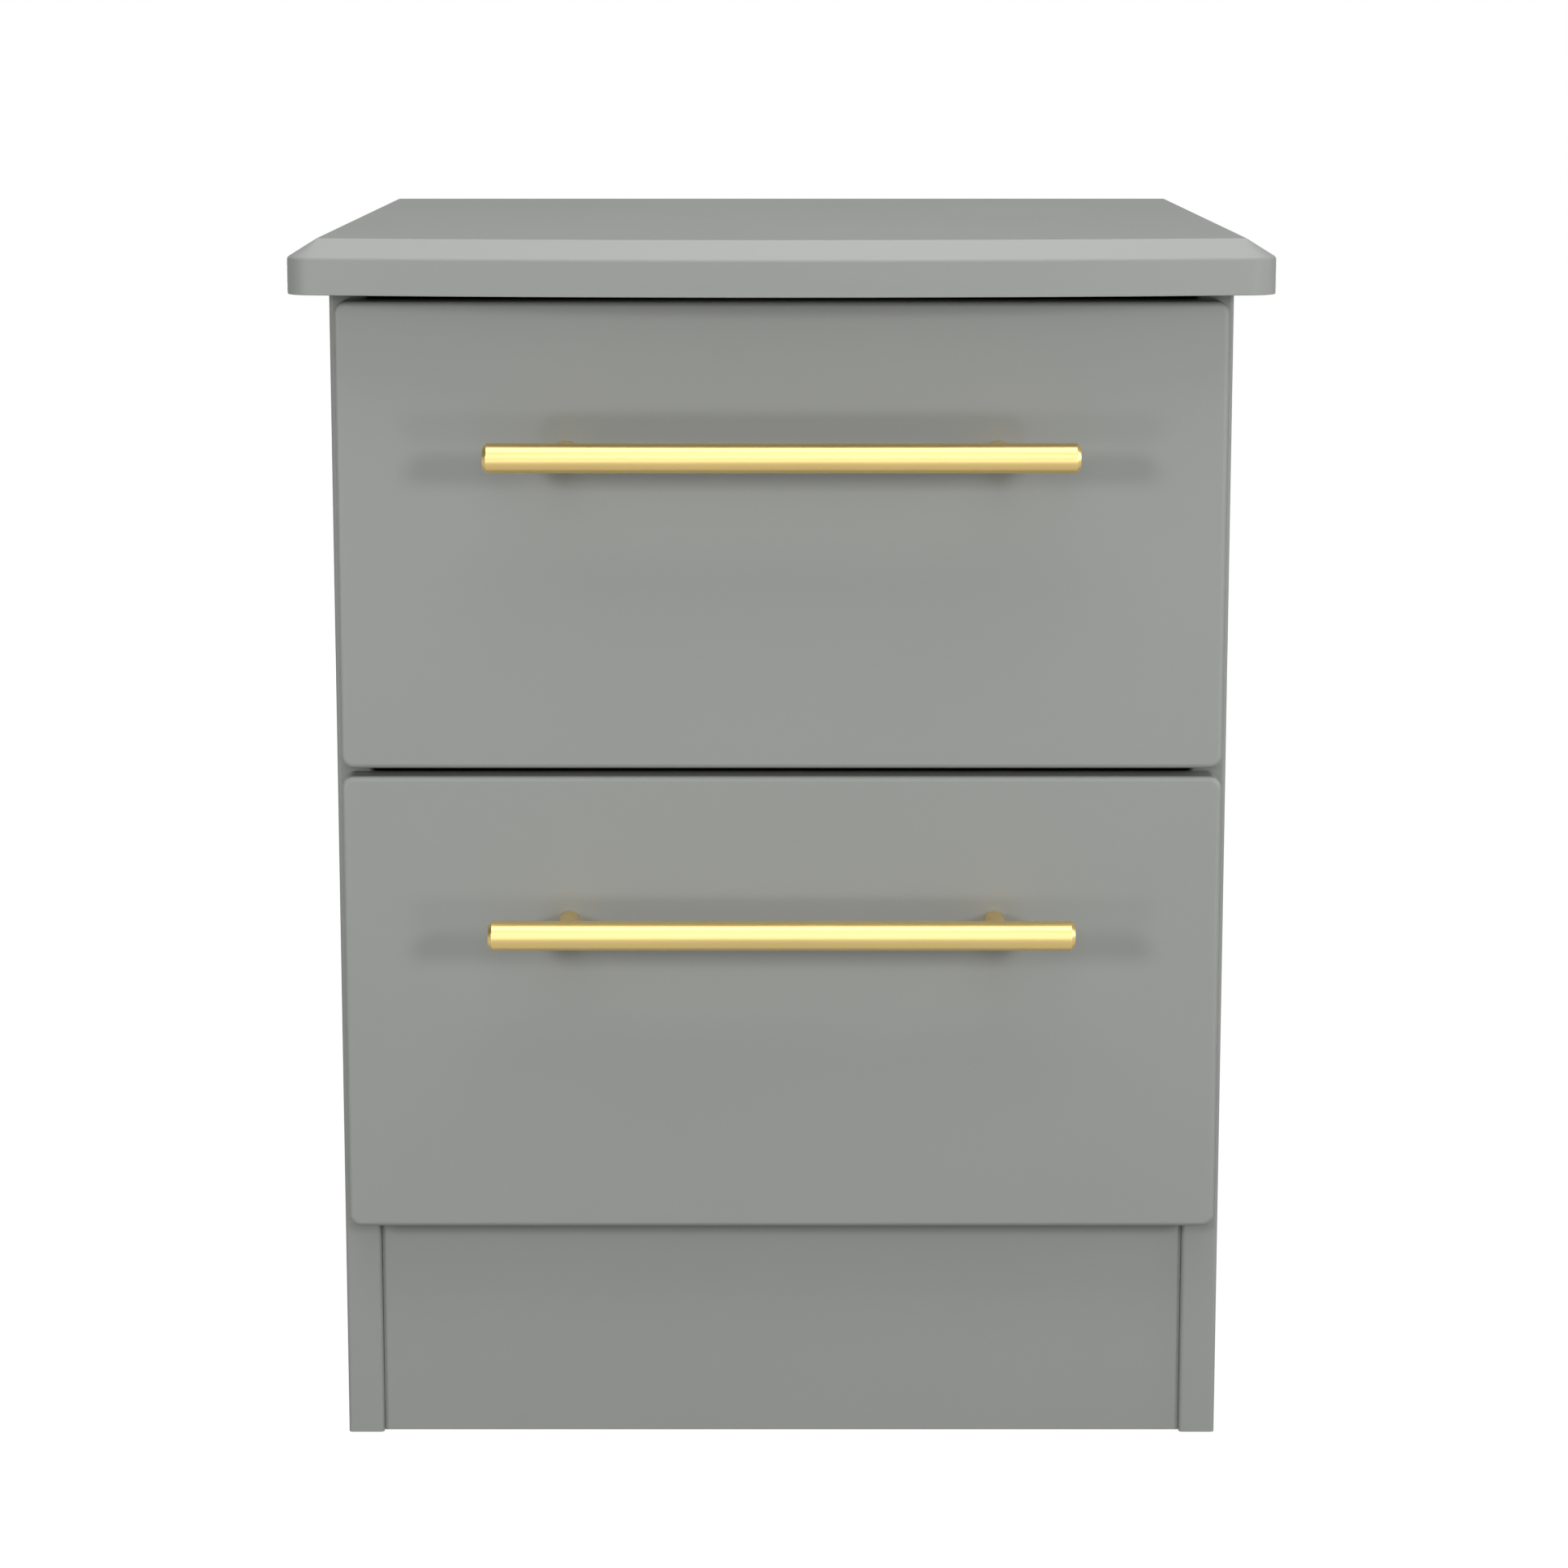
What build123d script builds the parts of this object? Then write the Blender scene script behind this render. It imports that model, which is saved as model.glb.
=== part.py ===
from build123d import *
from collections import namedtuple
import os

# A nightstand with two drawers, in millimetres. The origin is on the floor, in the
# middle of the outer box: +X to the right as seen from the front, +Y to the back, +Z up.

# Overall
width = 395.0  # top panel, side to side
depth = 415.0  # back edge to the middle of the bowed front edge
height = 505.0  # floor to the top surface

# Top panel
top_thick = 22.0
top_bow = 17.0  # rise of the front edge's arc over the panel's width
top_side_overhang = 13.75
top_front_overhang = 36.0  # at the ends of the bow
top_bevel_in = 12.0
top_bevel_down = 7.4
top_corner_spare = 0.5  # the corner's radius beyond the bevel's width
top_arris_r = 1.5  # where the bevel meets the upright edge

# Cabinet boards
board = 15.0
edging_thick = 2.0
edging_arris_r = 1.8
plinth_height = 98.0
plinth_setback = 3.0
rail_height = 70.0
back_thick = 3.0
back_inset = 8.0
groove_depth = 5.0
groove_clear = 0.2  # on each face of a thin board
groove_end_clear = 0.5  # from a thin board's edge to its groove's floor

# Drawer fronts
front_thick = 16.0
front_reveal = 3.25  # cabinet's outer face to the front's end
front_gap = 3.5
front_top_gap = 3.8
front_lap = 3.3  # plinth's upper edge down to the lower front's lower edge
front_stand_off = 0.5  # closed front to the cabinet's front edges
front_corner_r = 5.0
front_arris_r = 2.2

# Drawer boxes
box_board = 12.0
box_rise = 26.0  # front's lower edge to the box's lower edge
box_drop = 24.5  # front's upper edge to the box's upper edge
box_back_gap = 31.5  # drawer box to the back panel
bottom_thick = 3.0
bottom_rise = 10.0  # box's lower edge to its bottom board

# Handles
bar_r = 6.0
bar_length = 238.0
bar_end_bevel = 1.6
bar_projection = 30.6  # front's face to the bar's axis
bar_drop = 60.0  # front's upper edge to the bar's axis
post_r = 4.2
post_spacing = 175.0
post_seat = 1.5  # bar's axis to the floor of the hole that takes the post
handle_screw_r = 2.0
handle_screw_grip = 12.0  # into the post
handle_head_r = 3.75
handle_head_thick = 2.4

# Drawer runners: sheet steel members with plastic rollers
sheet = 1.2
runner_gap = 12.5  # cabinet side to drawer side
runner_setback = 4.0
runner_end_gap = 18.0  # drawer member's end to the box's back
runner_overlap = 75.0  # of the two members with the drawer open
nose_clear = 4.5  # front roller's rim to the start of the channel's upper flange
lip_clear = 0.7  # roller's face to the channel's lip
channel_lip = 3.5
shelf_width = 10.0  # drawer member's flange under the drawer side
lug_width = 3.8
slot_length = 9.0  # of the spare fixing slots, between the centres of their ends
slot_r = 2.1
roller_r = 9.5
roller_width = 5.8
roller_bevel = 0.6
roller_rise = 9.0  # box's lower edge to the rear roller's axis
roll_clear = 0.3  # roller's rim to what it rolls on
roller_play = 0.1  # roller's face to the collar or head beside it
web_clear = 0.5  # drawer member's edge to the cabinet member's web
channel_to_shelf = 1.1  # cabinet channel's top to the drawer member's upper flange
roller_from_nose = 12.0
roller_from_tail = 8.0
pin_r = 2.95
bore_r = 3.0
pin_tail_r = 2.0
pin_collar_r = 4.0
pin_head_thick = 0.6

# Fittings and fasteners
Fitting = namedtuple("Fitting", "dowel_r cam_r cam_reach head_r")
cabinet_fitting = Fitting(4.0, 7.5, 24.0, 3.5)
drawer_fitting = Fitting(3.0, 6.0, 18.0, 2.8)
cam_floor = 2.5  # of board behind a cam
dowel_short = 10.0  # into the board that is met face on
dowel_long = 20.0  # into the board that is met end on
dowel_bevel = 1.0
cam_bolt_r = 2.5
cam_bolt_grip = 11.0
edge_to_dowel = 30.0  # from a board's corner
edge_to_cam = 75.0
end_to_dowel = 15.0  # on the short ends of the plinth and rail
hole_spare = 0.6  # hole's depth beyond the dowel, bolt or screw in it
fit_clear = 0.05  # fitting to its hole, on the radius
Screw = namedtuple("Screw", "head_r head_depth shank_r length")
runner_screw = Screw(3.4, 1.8, 1.75, 13.0)
member_screw = Screw(3.0, 1.5, 1.5, 10.5)
box_screw = Screw(3.6, 2.4, 1.75, 35.0)
back_screw = Screw(3.0, 1.2, 1.4, 15.0)
back_screw_inset = 40.0  # from the cabinet side to the outer screws of each row
recess_width = 0.9  # of the arms of a screw's cross recess
recess_floor = 0.3  # of a screw's head below its recess

# Places that follow from the sizes above
carcass_width = width - 2 * top_side_overhang
carcass_height = height - top_thick
outer_half = carcass_width / 2
inner_half = outer_half - board
back_y = depth / 2
front_y = top_bow + top_front_overhang - depth / 2
back_panel_y = back_y - back_inset - back_thick
front_back_y = front_y - front_stand_off
front_face_y = front_back_y - front_thick
front_width = carcass_width - 2 * front_reveal
front_bottom = plinth_height - front_lap
front_height = (carcass_height - front_top_gap - front_gap - front_bottom) / 2
box_half = inner_half - runner_gap
box_inner_half = box_half - box_board
box_back_y = back_panel_y - box_back_gap
box_height = front_height - box_rise - box_drop
bar_y = front_face_y - bar_projection
runner_y = front_y + runner_setback
member_y = front_back_y + runner_setback / 2
runner_length = box_back_y - runner_end_gap - member_y
travel = runner_length - runner_overlap
roller_u = 2 * sheet - roller_play  # cabinet side to the roller's outer face
channel_width = roller_u + roller_width + lip_clear + sheet
runner_nose = roller_from_nose + roller_r + nose_clear

BACK = Vector(0, 1, 0)
FORWARD = Vector(0, -1, 0)
UP = Vector(0, 0, 1)
DOWN = Vector(0, 0, -1)
SIDES = {"left": -1, "right": 1}

os.makedirs("parts", exist_ok=True)


def outward(side):
    return Vector(side, 0, 0)


def inward(side):
    return Vector(-side, 0, 0)


def block(x, y, z):
    """A square-edged solid between two limits along each axis, given in either order."""
    low = [min(pair) for pair in (x, y, z)]
    size = [abs(pair[1] - pair[0]) for pair in (x, y, z)]
    return Pos(*low) * Box(*size, align=(Align.MIN, Align.MIN, Align.MIN))


def turned(start, towards, outline):
    """A turned solid. The outline is (distance along the axis, radius) from end to end."""
    radii = [(radius, along) for along, radius in outline]
    ends = [(0, outline[0][0]), (0, outline[-1][0])]
    face = Plane.XZ * make_face(Polyline(ends[0], *radii, ends[1], close=True))
    return Plane(origin=start, z_dir=towards) * revolve(face, Axis.Z)


def rod(start, towards, length, radius):
    return turned(start, towards, [(0, radius), (length, radius)])


def save(node, *pieces):
    """Writes one node. Like pieces share a node as a group of separate solids."""
    solids = [solid for piece in pieces for solid in piece.solids()]
    group = Compound(solids) if len(solids) > 1 else solids[0]
    group.label = node
    export_step(group, f"parts/{node}.step")


# --- Dowels, cams and screws. A seam is where the axis crosses from one board to the
# --- other, and "into" points into the board that is met end on.


def dowel(fitting, seam, into):
    radius, length = fitting.dowel_r - fit_clear, dowel_short + dowel_long
    tip = radius - dowel_bevel
    outline = [(0, tip), (dowel_bevel, radius), (length - dowel_bevel, radius), (length, tip)]
    return turned(seam - into * dowel_short, into, outline)


def dowel_hole(fitting, seam, into):
    reach = dowel_short + hole_spare
    return rod(seam - into * reach, into, reach + dowel_long + hole_spare, fitting.dowel_r)


def cam_bolt(fitting, seam, into):
    """A bolt screwed into one board, with a head that the cam in the other pulls on."""
    neck_end = cam_bolt_grip + fitting.cam_reach - fitting.head_r
    outline = [(0, cam_bolt_r), (neck_end, cam_bolt_r), (neck_end, fitting.head_r)]
    outline += [(neck_end + fitting.head_r, fitting.head_r)]
    return turned(seam - into * cam_bolt_grip, into, outline)


def cam_passage(fitting, seam, into, length):
    return rod(seam, into, length, fitting.head_r + fit_clear)


def cam_holes(fitting, seam, into, face, thick):
    """The bolt's two holes and the round pocket for the cam, which opens on one face."""
    depth = cam_bolt_grip + hole_spare
    grip = rod(seam - into * depth, into, depth, cam_bolt_r + fit_clear)
    passage = cam_passage(fitting, seam, into, fitting.cam_reach)
    mouth = seam + into * fitting.cam_reach + face * (thick / 2)
    pocket = rod(mouth, -face, thick - cam_floor, fitting.cam_r)
    return [grip, passage, pocket]


def cross_recess(mouth, face, across, reach, arm_width, depth):
    """Two crossed slots that a driver fits, open on a face."""
    arm = Box(2 * reach, arm_width, 2 * depth)
    return Plane(origin=mouth, z_dir=face, x_dir=across) * (arm + Rot(0, 0, 90) * arm)


def cam_lock(fitting, seam, into, face, thick):
    """A round cam with a socket for the bolt's head and a cross recess to turn it by."""
    mouth = seam + into * fitting.cam_reach + face * (thick / 2)
    radius, bevel = fitting.cam_r - fit_clear, fitting.cam_r / 15
    height = thick - cam_floor - bevel
    drum = turned(mouth, -face, [(0, radius - bevel), (bevel, radius), (height, radius)])
    drum -= cam_passage(fitting, seam, into, fitting.cam_reach + fitting.head_r)
    reach, depth = fitting.cam_r / 2, fitting.cam_r / 4
    return drum - cross_recess(mouth, face, into, reach, fitting.cam_r / 6, depth)


def screw_recess(head, into, reach, depth):
    return cross_recess(head, -into, into.cross(UP), reach, recess_width, depth)


def screw_outline(size, head, into):
    return turned(
        head,
        into,
        [(0, size.head_r), (size.head_depth, size.shank_r), (size.length, size.shank_r)],
    )


def screw(size, head, into):
    """A countersunk screw with its head flush at a point and its shank going in."""
    depth = size.head_depth - recess_floor
    return screw_outline(size, head, into) - screw_recess(head, into, size.shank_r, depth)


def screw_hole(size, head, into):
    grown = size._replace(
        head_r=size.head_r + fit_clear,
        shank_r=size.shank_r + fit_clear,
        length=size.length + hole_spare,
    )
    return screw_outline(grown, head, into)


# --- Cabinet fittings: (fitting, seam, into) for a dowel, with the cam's face and the
# --- thickness of its board for a cam.

cabinet_dowels = []
cabinet_cams = []


def fix_board(side, face, dowel_places, cam_places):
    """Fits a board's end to a side panel, with its cams sunk in one face."""
    for y, z in dowel_places:
        seam = Vector(side * inner_half, y, z)
        cabinet_dowels.append((cabinet_fitting, seam, inward(side)))
    for y, z in cam_places:
        seam = Vector(side * inner_half, y, z)
        cabinet_cams.append((cabinet_fitting, seam, inward(side), face, board))


def fix_top(side):
    """Fits the top panel to a side panel's upper edge."""
    x = side * (outer_half - board / 2)
    for y in (front_y + edge_to_dowel, back_panel_y - edge_to_dowel):
        cabinet_dowels.append((cabinet_fitting, Vector(x, y, carcass_height), DOWN))
    for y in (front_y + edge_to_cam, back_panel_y - edge_to_cam):
        seam = Vector(x, y, carcass_height)
        cabinet_cams.append((cabinet_fitting, seam, DOWN, inward(side), board))


plinth_mid_y = front_y + plinth_setback + board / 2
rail_mid_y = back_panel_y - board / 2
bottom_mid_z = plinth_height + board / 2
rail_mid_z = carcass_height - rail_height / 2
bottom_dowels = (front_y + edge_to_dowel, back_panel_y - edge_to_dowel)
bottom_cams = (front_y + edge_to_cam, back_panel_y - edge_to_cam)
plinth_dowels = (end_to_dowel, plinth_height - end_to_dowel)
rail_dowels = (carcass_height - rail_height + end_to_dowel, carcass_height - end_to_dowel)

for side in SIDES.values():
    fix_top(side)
    fix_board(
        side,
        DOWN,
        [(y, bottom_mid_z) for y in bottom_dowels],
        [(y, bottom_mid_z) for y in bottom_cams],
    )
    fix_board(
        side,
        BACK,
        [(plinth_mid_y, z) for z in plinth_dowels],
        [(plinth_mid_y, plinth_height / 2)],
    )
    fix_board(
        side,
        FORWARD,
        [(rail_mid_y, z) for z in rail_dowels],
        [(rail_mid_y, rail_mid_z)],
    )

cabinet_holes = [dowel_hole(*seat) for seat in cabinet_dowels]
for seat in cabinet_cams:
    cabinet_holes += cam_holes(*seat)

back_screw_seats = [
    Vector(x, back_panel_y + back_thick, z)
    for x in (back_screw_inset - inner_half, 0, inner_half - back_screw_inset)
    for z in (bottom_mid_z, rail_mid_z)
]
cabinet_holes += [screw_hole(back_screw, seat, FORWARD) for seat in back_screw_seats]


# --- Drawer runners. A distance u is measured from the cabinet side's inner face towards
# --- the middle, and heights are above the drawer box's lower edge.

channel_low = roller_rise - roller_r - roll_clear - sheet
channel_top = roller_rise + roller_r + roll_clear + sheet
shelf_low = channel_top + channel_to_shelf
front_roller_rise = shelf_low - roll_clear - roller_r
front_roller_y = runner_y + roller_from_nose
rear_roller_y = member_y + runner_length - roller_from_tail
lug_y = rear_roller_y - travel - roller_r - roll_clear


def at_u(side, u):
    return side * (inner_half - u)


def runner_screw_seats(side, box_z):
    return [
        Vector(at_u(side, sheet), runner_y + share * runner_length, box_z + roller_rise)
        for share in (0.12, 0.55, 0.88)
    ]


def member_screw_seats(side, box_z):
    u, z = runner_gap - sheet, box_z + bottom_rise / 2
    return [
        Vector(at_u(side, u), member_y + share * runner_length, z) for share in (0.12, 0.5, 0.85)
    ]


def fixing_slot(side, u, y, z):
    """A spare oval hole through a member's web, along the runner."""
    oval = extrude(SlotCenterToCenter(slot_length, 2 * slot_r), sheet)
    return Plane(origin=Vector(at_u(side, u), y, z), z_dir=inward(side), x_dir=BACK) * oval


def cabinet_runner(side, box_z):
    """The channel on the cabinet side: a web, two flanges, a lip and a stop lug."""
    low, top = box_z + channel_low, box_z + channel_top
    length = (runner_y, runner_y + runner_length)
    flange = (at_u(side, 0), at_u(side, channel_width))
    lip = (at_u(side, channel_width - sheet), at_u(side, channel_width))
    lug = (at_u(side, 0), at_u(side, sheet + lug_width))
    member = block((at_u(side, 0), at_u(side, sheet)), length, (low, top))
    member += block(flange, length, (low, low + sheet))
    member += block(lip, length, (low, low + channel_lip))
    member += block(flange, (runner_y + runner_nose, length[1]), (top - sheet, top))
    member += block(lug, (lug_y - sheet, lug_y), (low, top))
    member -= [screw_hole(runner_screw, s, outward(side)) for s in runner_screw_seats(side, box_z)]
    z = box_z + roller_rise
    slots = [fixing_slot(side, 0, runner_y + share * runner_length, z) for share in (0.3, 0.72)]
    tail = Vector(at_u(side, 0), front_roller_y, box_z + front_roller_rise)
    return member - rod(tail, inward(side), sheet, pin_tail_r) - slots


def drawer_runner(side, box_z):
    """The angle on the drawer side: a flange under the side and one over the roller."""
    length = (member_y, member_y + runner_length)
    web = (at_u(side, runner_gap - sheet), at_u(side, runner_gap))
    under = (at_u(side, runner_gap - sheet), at_u(side, runner_gap + shelf_width))
    over = (at_u(side, sheet + web_clear), at_u(side, runner_gap))
    shelf = box_z + shelf_low
    member = block(web, length, (box_z - sheet, shelf + sheet))
    member += block(under, length, (box_z - sheet, box_z))
    member += block(over, length, (shelf, shelf + sheet))
    member -= [screw_hole(member_screw, s, inward(side)) for s in member_screw_seats(side, box_z)]
    u, z = runner_gap - sheet, box_z + shelf_low / 2
    slots = [fixing_slot(side, u, member_y + share * runner_length, z) for share in (0.3, 0.68)]
    tail = Vector(at_u(side, runner_gap), rear_roller_y, box_z + roller_rise)
    return member - rod(tail, outward(side), sheet, pin_tail_r) - slots


def roller(side, y, z):
    """A plastic roller on a pin that lies along X."""
    rim = roller_r - roller_bevel
    outline = [(0, rim), (roller_bevel, roller_r), (roller_width - roller_bevel, roller_r)]
    outline += [(roller_width, rim)]
    start = Vector(at_u(side, roller_u), y, z)
    drum = turned(start, inward(side), outline)
    return drum - rod(start, inward(side), roller_width, bore_r)


def roller_pin(start, towards, collar_end, tail_length):
    """A riveted pin: a tail in the steel, a collar, the roller's seat and a head."""
    seat_end = collar_end + roller_width + 3 * roller_play
    outline = [(0, pin_tail_r), (tail_length, pin_tail_r), (tail_length, pin_collar_r)]
    outline += [(collar_end, pin_collar_r), (collar_end, pin_r), (seat_end, pin_r)]
    outline += [(seat_end, pin_collar_r), (seat_end + pin_head_thick, pin_collar_r)]
    return turned(start, towards, outline)


def front_roller_pin(side, box_z):
    start = Vector(at_u(side, 0), front_roller_y, box_z + front_roller_rise)
    return roller_pin(start, inward(side), roller_u - roller_play, sheet)


def rear_roller_pin(side, box_z):
    start = Vector(at_u(side, runner_gap), rear_roller_y, box_z + roller_rise)
    collar_end = runner_gap - roller_u - roller_width - roller_play
    return roller_pin(start, outward(side), collar_end, sheet)


# --- Cabinet ---

drawer_fronts = {"lower": front_bottom, "upper": front_bottom + front_height + front_gap}
box_levels = {name: low + box_rise for name, low in drawer_fronts.items()}

for side in SIDES.values():
    for level in box_levels.values():
        for seat in runner_screw_seats(side, level):
            cabinet_holes.append(screw_hole(runner_screw, seat, outward(side)))


def top_panel():
    """A bow-fronted panel with a wide bevel along its front and both sides."""
    corner_y = top_bow - depth / 2
    left, right = (-width / 2, corner_y), (width / 2, corner_y)
    back_left, back_right = (-width / 2, back_y), (width / 2, back_y)
    outline = make_face(
        [
            ThreePointArc(left, (0, -depth / 2), right),
            Polyline(right, back_right, back_left, left),
        ]
    )
    corners = outline.vertices().sort_by(Axis.Y)[:2]
    outline = fillet(corners, top_bevel_in + top_corner_spare)
    panel = extrude(Pos(0, 0, carcass_height) * outline, top_thick)
    upper = panel.faces().sort_by(Axis.Z)[-1]
    rim = upper.edges().sort_by(lambda edge: edge.center().Y)[:-1]
    panel = chamfer(rim, top_bevel_in, top_bevel_down, reference=upper)
    arris_z = height - top_bevel_down
    arris = panel.edges().filter_by_position(Axis.Z, arris_z, arris_z)
    arris = arris.sort_by(lambda edge: edge.center().Y)
    panel = fillet(arris, top_arris_r)
    return panel - cabinet_holes


def side_panel(side):
    x = (side * outer_half, side * inner_half)
    panel = block(x, (front_y + edging_thick, back_y), (0, carcass_height))
    return panel - back_slot - cabinet_holes


def front_edging(side):
    x = (side * outer_half, side * inner_half)
    strip = block(x, (front_y, front_y + edging_thick), (0, carcass_height))
    arrises = strip.edges().filter_by(Axis.Z).sort_by(Axis.Y)[:2]
    return fillet(arrises, min(edging_arris_r, 0.9 * edging_thick))


back_slot = block(
    (-inner_half - groove_depth, inner_half + groove_depth),
    (back_panel_y - groove_clear, back_panel_y + back_thick + groove_clear),
    (0, carcass_height),
)
back_half = inner_half + groove_depth - groove_end_clear
back_panel = block(
    (-back_half, back_half),
    (back_panel_y, back_panel_y + back_thick),
    (plinth_height, carcass_height - groove_end_clear),
)
between_sides = (-inner_half, inner_half)
base_y = front_y + plinth_setback
plinth = block(between_sides, (base_y, base_y + board), (0, plinth_height))
bottom_panel = block(
    between_sides, (base_y, back_panel_y), (plinth_height, plinth_height + board)
)
rear_rail = block(
    between_sides,
    (back_panel_y - board, back_panel_y),
    (carcass_height - rail_height, carcass_height),
)

save("top_panel", top_panel())
save("plinth", plinth - cabinet_holes)
save("bottom_panel", bottom_panel - cabinet_holes)
save("top_rear_rail", rear_rail - cabinet_holes)
save("back_panel", back_panel - cabinet_holes)
for name, side in SIDES.items():
    save(f"{name}_side_panel", side_panel(side))
    save(f"{name}_front_edging", front_edging(side))
save("cabinet_dowels", *[dowel(*seat) for seat in cabinet_dowels])
save("cabinet_cam_bolts", *[cam_bolt(*seat[:3]) for seat in cabinet_cams])
save("cabinet_cam_locks", *[cam_lock(*seat) for seat in cabinet_cams])
save("back_panel_screws", *[screw(back_screw, seat, FORWARD) for seat in back_screw_seats])

runner_screws, cabinet_pins = [], []
for level, box_z in box_levels.items():
    for name, side in SIDES.items():
        seats = runner_screw_seats(side, box_z)
        runner_screws += [screw(runner_screw, seat, outward(side)) for seat in seats]
        cabinet_pins.append(front_roller_pin(side, box_z))
        save(f"{level}_{name}_cabinet_runner", cabinet_runner(side, box_z))
        front_roller = roller(side, front_roller_y, box_z + front_roller_rise)
        save(f"{level}_{name}_cabinet_roller", front_roller)
save("cabinet_runner_screws", *runner_screws)
save("cabinet_roller_pins", *cabinet_pins)


# --- Drawers ---


def handle_bar(bar_z):
    """A round bar with bevelled ends and two blind holes in its back for the posts."""
    tip = bar_r - bar_end_bevel
    outline = [(0, tip), (bar_end_bevel, bar_r), (bar_length - bar_end_bevel, bar_r)]
    outline += [(bar_length, tip)]
    bar = turned(Vector(-bar_length / 2, bar_y, bar_z), outward(1), outline)
    floors = [Vector(x, bar_y + post_seat, bar_z) for x in post_places]
    return bar - [rod(floor, BACK, bar_r, post_r) for floor in floors]


def handle_post(x, bar_z):
    start = Vector(x, bar_y + post_seat, bar_z)
    length = front_face_y - start.Y
    post = rod(start, BACK, length, post_r)
    depth_in = handle_screw_grip + hole_spare
    end = Vector(x, front_face_y, bar_z)
    return post - rod(end, FORWARD, depth_in, handle_screw_r + fit_clear)


def handle_screw(x, bar_z):
    """A machine screw from inside the drawer, through the front, into a post."""
    start = Vector(x, front_back_y + handle_head_thick, bar_z)
    neck = handle_head_thick
    tip = neck + front_thick + handle_screw_grip
    outline = [(0, handle_head_r / 2), (neck / 2, handle_head_r), (neck, handle_head_r)]
    outline += [(neck, handle_screw_r), (tip, handle_screw_r)]
    recess = screw_recess(start, FORWARD, handle_screw_r, neck / 2)
    return turned(start, FORWARD, outline) - recess


def drawer_front(low, holes):
    x = (-front_width / 2, front_width / 2)
    front = block(x, (front_face_y, front_back_y), (low, low + front_height))
    front = fillet(front.edges().filter_by(Axis.Y), front_corner_r)
    face = front.faces().sort_by(Axis.Y)[0]
    front = fillet(face.edges(), front_arris_r)
    return front - holes


def drawer(name, low):
    box_z = box_levels[name]
    box_top = box_z + box_height
    bar_z = low + front_height - bar_drop
    bottom_z = box_z + bottom_rise
    slot_half = box_inner_half + groove_depth
    slot = block(
        (-slot_half, slot_half),
        (front_back_y - groove_depth, box_back_y - box_board + groove_depth),
        (bottom_z - groove_clear, bottom_z + bottom_thick + groove_clear),
    )
    dowels, cams, box_screws, member_screws = [], [], [], []
    for side in SIDES.values():
        board_x = side * (box_half - box_board / 2)
        for z in (box_z + 2 * bottom_rise + bottom_thick, box_top - 2 * bottom_rise):
            dowels.append((drawer_fitting, Vector(board_x, front_back_y, z), BACK))
        seam = Vector(board_x, front_back_y, box_z + box_height / 2)
        cams.append((drawer_fitting, seam, BACK, inward(side), box_board))
        for share in (0.25, 0.75):
            y, z = box_back_y - box_board / 2, box_z + share * box_height
            box_screws.append((box_screw, Vector(side * box_half, y, z), inward(side)))
        for seat in member_screw_seats(side, box_z):
            member_screws.append((member_screw, seat, inward(side)))
    holes = [slot]
    holes += [dowel_hole(*seat) for seat in dowels]
    holes += [hole for seat in cams for hole in cam_holes(*seat)]
    holes += [screw_hole(*seat) for seat in box_screws + member_screws]
    for x in post_places:
        end = Vector(x, front_face_y, bar_z)
        holes.append(rod(end, BACK, front_thick, handle_screw_r + fit_clear))

    save(f"{name}_drawer_front", drawer_front(low, holes))
    across = (-box_inner_half, box_inner_half)
    back = block(across, (box_back_y - box_board, box_back_y), (box_z, box_top))
    save(f"{name}_drawer_back", back - holes)
    bottom_half = slot_half - groove_end_clear
    bottom = block(
        (-bottom_half, bottom_half),
        (
            front_back_y - groove_depth + groove_end_clear,
            box_back_y - box_board + groove_depth - groove_end_clear,
        ),
        (bottom_z, bottom_z + bottom_thick),
    )
    save(f"{name}_drawer_bottom", bottom)
    for hand, side in SIDES.items():
        x = (side * box_half, side * box_inner_half)
        wall = block(x, (front_back_y, box_back_y), (box_z, box_top))
        save(f"{name}_drawer_{hand}_side", wall - holes)
        save(f"{name}_{hand}_drawer_runner", drawer_runner(side, box_z))
        rear_roller = roller(side, rear_roller_y, box_z + roller_rise)
        save(f"{name}_{hand}_drawer_roller", rear_roller)
    save(f"{name}_drawer_dowels", *[dowel(*seat) for seat in dowels])
    save(f"{name}_drawer_cam_bolts", *[cam_bolt(*seat[:3]) for seat in cams])
    save(f"{name}_drawer_cam_locks", *[cam_lock(*seat) for seat in cams])
    save(f"{name}_drawer_back_screws", *[screw(*seat) for seat in box_screws])
    save(f"{name}_drawer_runner_screws", *[screw(*seat) for seat in member_screws])
    pins = [rear_roller_pin(side, box_z) for side in SIDES.values()]
    save(f"{name}_drawer_roller_pins", *pins)
    save(f"{name}_handle_bar", handle_bar(bar_z))
    save(f"{name}_handle_posts", *[handle_post(x, bar_z) for x in post_places])
    save(f"{name}_handle_screws", *[handle_screw(x, bar_z) for x in post_places])


post_places = (-post_spacing / 2, post_spacing / 2)
for name, low in drawer_fronts.items():
    drawer(name, low)
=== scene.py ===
import math

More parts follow.
